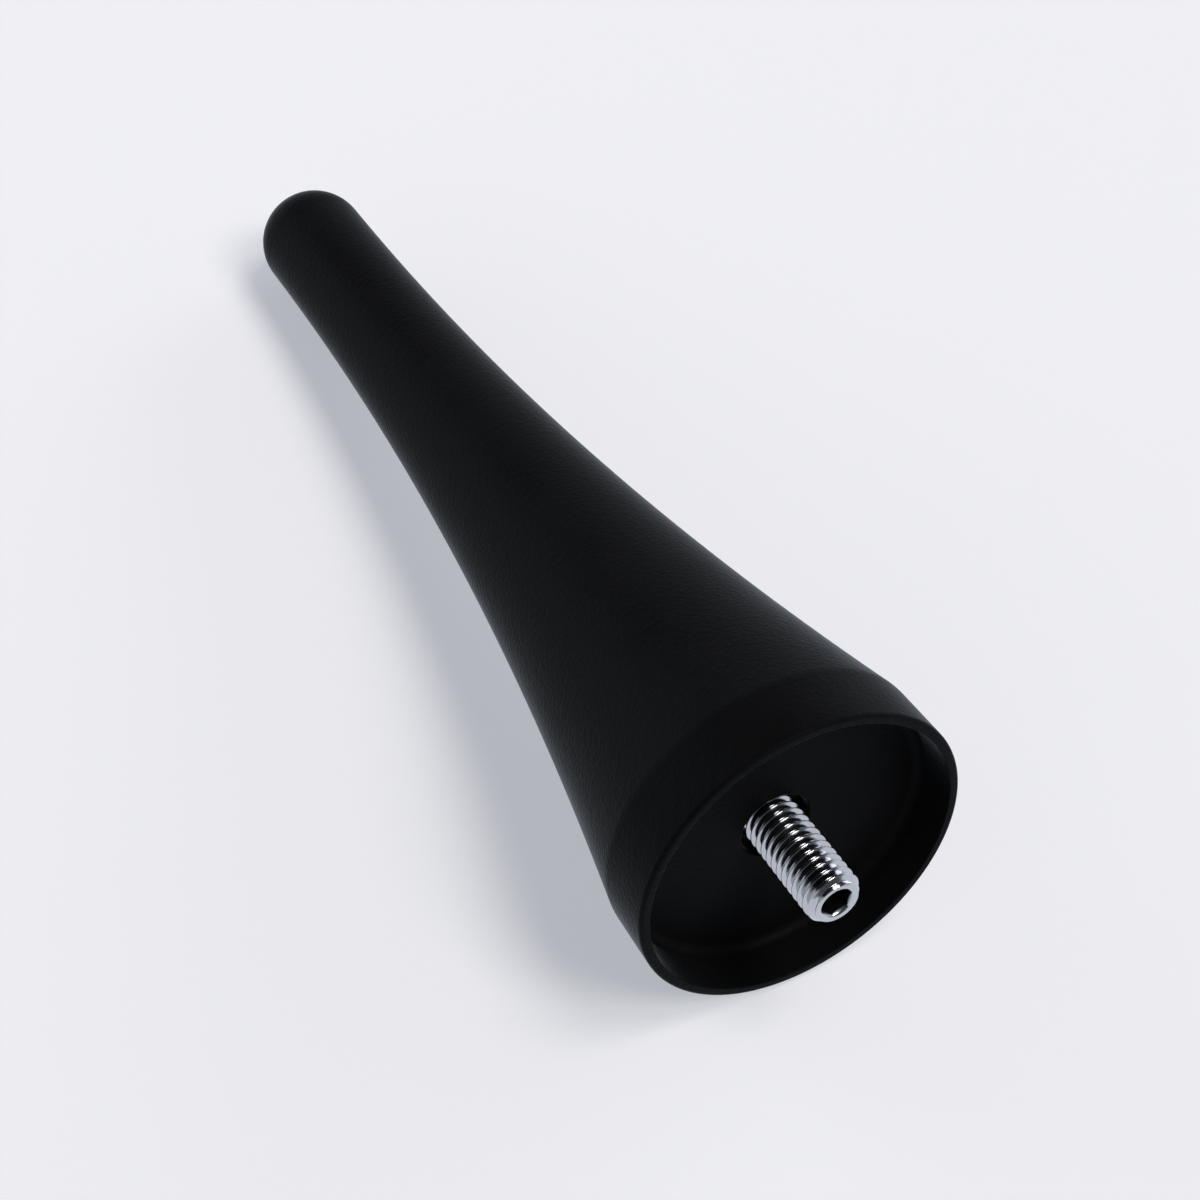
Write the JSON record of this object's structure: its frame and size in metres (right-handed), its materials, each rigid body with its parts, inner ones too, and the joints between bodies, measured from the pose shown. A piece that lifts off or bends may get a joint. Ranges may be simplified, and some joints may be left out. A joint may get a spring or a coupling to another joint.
{
  "type": "car mast aerial",
  "caption": "Short screw-in car aerial: a round-tipped black mast that flares like a trumpet to a cupped base, with a threaded hex-socket stud inside the cup.",
  "frame": {"origin": "on the mast's axis, in the plane of the cup's rim", "axes": "+Z along the mast to its round tip; the stud points along -Z; X and Y are free, because the part is round"},
  "size_m": [0.03, 0.03, 0.1087],
  "materials": {
    "cover": "black, soft satin, fine moulded grain",
    "stud": "bright nickel-plated steel thread",
    "insert": "turned brass, chemically blackened, dull",
    "former": "glass-fibre rod, pale straw",
    "coil": "enamelled copper wire, clear amber coat",
    "sleeve": "black shrink sleeve"
  },
  "bodies": {
    "root": {"mast_cover": "cover", "mounting_stud": "stud", "threaded_insert": "insert", "coil_former": "former", "aerial_coil": "coil", "coil_sleeve": "sleeve"}
  },
  "joints": []
}
